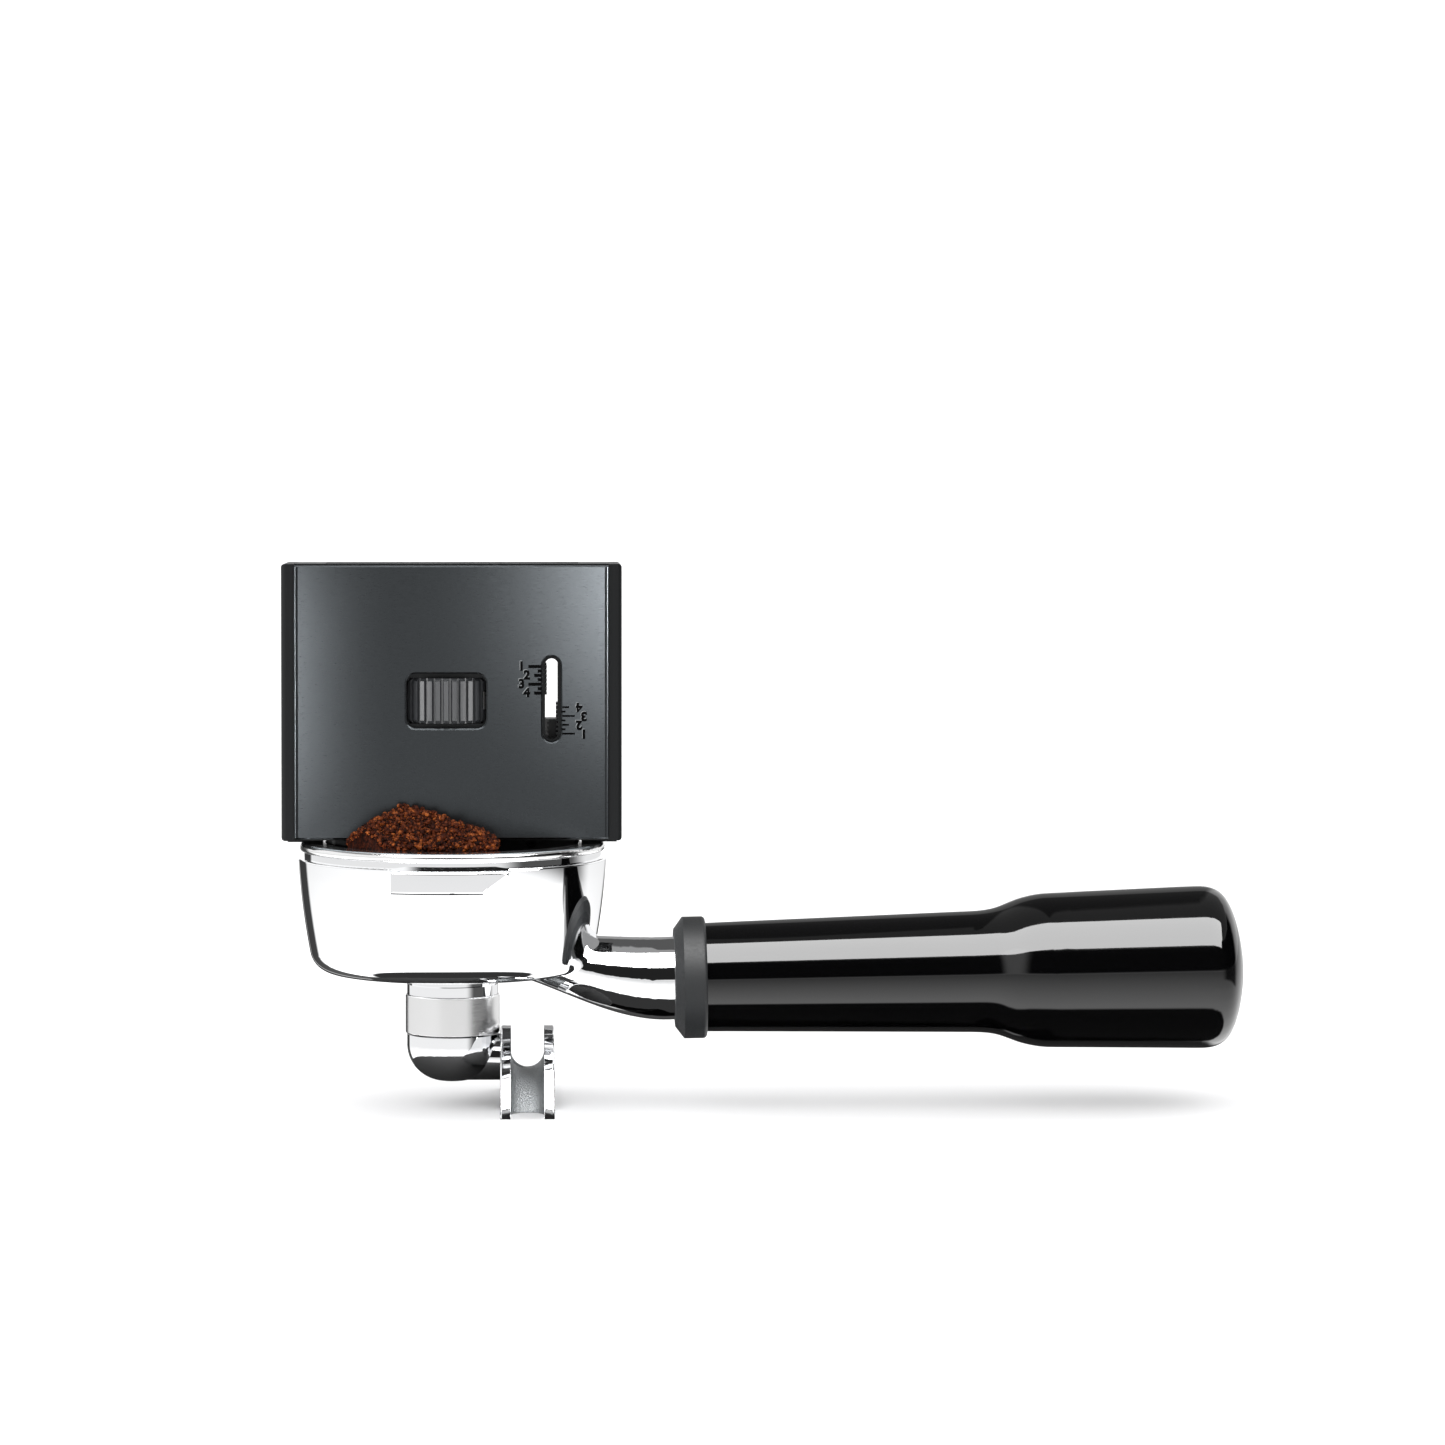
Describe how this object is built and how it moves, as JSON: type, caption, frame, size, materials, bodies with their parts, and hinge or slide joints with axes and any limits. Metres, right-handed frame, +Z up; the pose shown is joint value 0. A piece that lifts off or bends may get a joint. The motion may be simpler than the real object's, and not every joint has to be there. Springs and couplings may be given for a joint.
{
  "type": "espresso portafilter with dose trimming tool",
  "caption": "Espresso portafilter with black handle, double spout and lift-out filter basket of ground coffee, with an adjustable coffee dose trimming tool standing on its rim.",
  "frame": {"origin": "centre of the filter basket's rim, on the bowl's axis, at the flange's top face, where it seals against an espresso machine's group", "axes": "+Z up along the bowl's axis, +X towards the end of the handle, the trimming tool's front face looks along -Y"},
  "size_m": [0.2194, 0.08, 0.1238],
  "materials": {
    "chrome": "polished chrome plate over a smooth casting",
    "cast_spout": "bright polished edges, grainy cast channel",
    "brushed_ring": "fine turned lines around the ring",
    "basket_steel": "bright rolled steel",
    "blade_steel": "ground steel",
    "spring_steel": "plain steel",
    "screw_steel": "dark steel",
    "brass_insert": "turned brass",
    "seal_rubber": "plain rubber",
    "collar_plastic": "matte black",
    "grip_plastic": "high gloss black",
    "tool_plastic": "satin black moulding",
    "wheel_plastic": "satin black, ribbed",
    "graphite_metal": "satin graphite",
    "coffee": "coarse reddish-brown ground coffee"
  },
  "bodies": {
    "portafilter": {"bowl_casting": "chrome", "basket_spring": "spring_steel", "spout_collar": "brushed_ring", "spout_washer": "seal_rubber", "handle_stud": "spring_steel", "handle_collar": "collar_plastic", "handle_insert": "brass_insert", "handle_grip": "grip_plastic"},
    "spout": {"spout_elbow": "chrome", "double_spout": "cast_spout"},
    "basket": {"filter_basket": "basket_steel", "coffee_puck": "coffee"},
    "grounds": {"loose_grounds": "coffee"},
    "trimmer": {"frame_front": "tool_plastic", "frame_rear": "tool_plastic", "front_cover": "graphite_metal", "rear_cover": "graphite_metal", "frame_screws": "screw_steel", "detent_springs": "spring_steel"},
    "blade_carrier": {"blade_carrier": "tool_plastic", "lower_blade": "blade_steel", "upper_blade": "blade_steel", "blade_screws": "screw_steel", "lead_screw": "spring_steel"},
    "thumbwheel": {"thumbwheel": "wheel_plastic", "wheel_nut": "brass_insert"}
  },
  "joints": [
    {"name": "spout_turn", "type": "hinge", "parent": "portafilter", "child": "spout", "pos_m": [0, 0, -0.04375], "axis": [0, 0, 1], "continuous": true},
    {"name": "basket_lift", "type": "slide", "parent": "portafilter", "child": "basket", "axis": [0, 0, 1], "range_m": [0, 0.045]},
    {"name": "trimmer_turn", "type": "hinge", "parent": "basket", "child": "grounds", "pos_m": [0, 0, 0], "axis": [0, 0, 1], "continuous": true},
    {"name": "trimmer_lift", "type": "slide", "parent": "grounds", "child": "trimmer", "axis": [0, 0, 1], "range_m": [0, 0.04]},
    {"name": "blade_depth", "type": "slide", "parent": "trimmer", "child": "blade_carrier", "axis": [0, 0, 1], "range_m": [-0.0029, 0.0121]},
    {"name": "thumbwheel_spin", "type": "hinge", "parent": "trimmer", "child": "thumbwheel", "pos_m": [-0.0012, 0, 0.0326], "axis": [0, 0, 1], "range_deg": [-345, 1175]}
  ],
  "couplings": [
    {"joint": "thumbwheel_spin", "follows": "blade_depth", "rad_per_m": 1570.8}
  ]
}
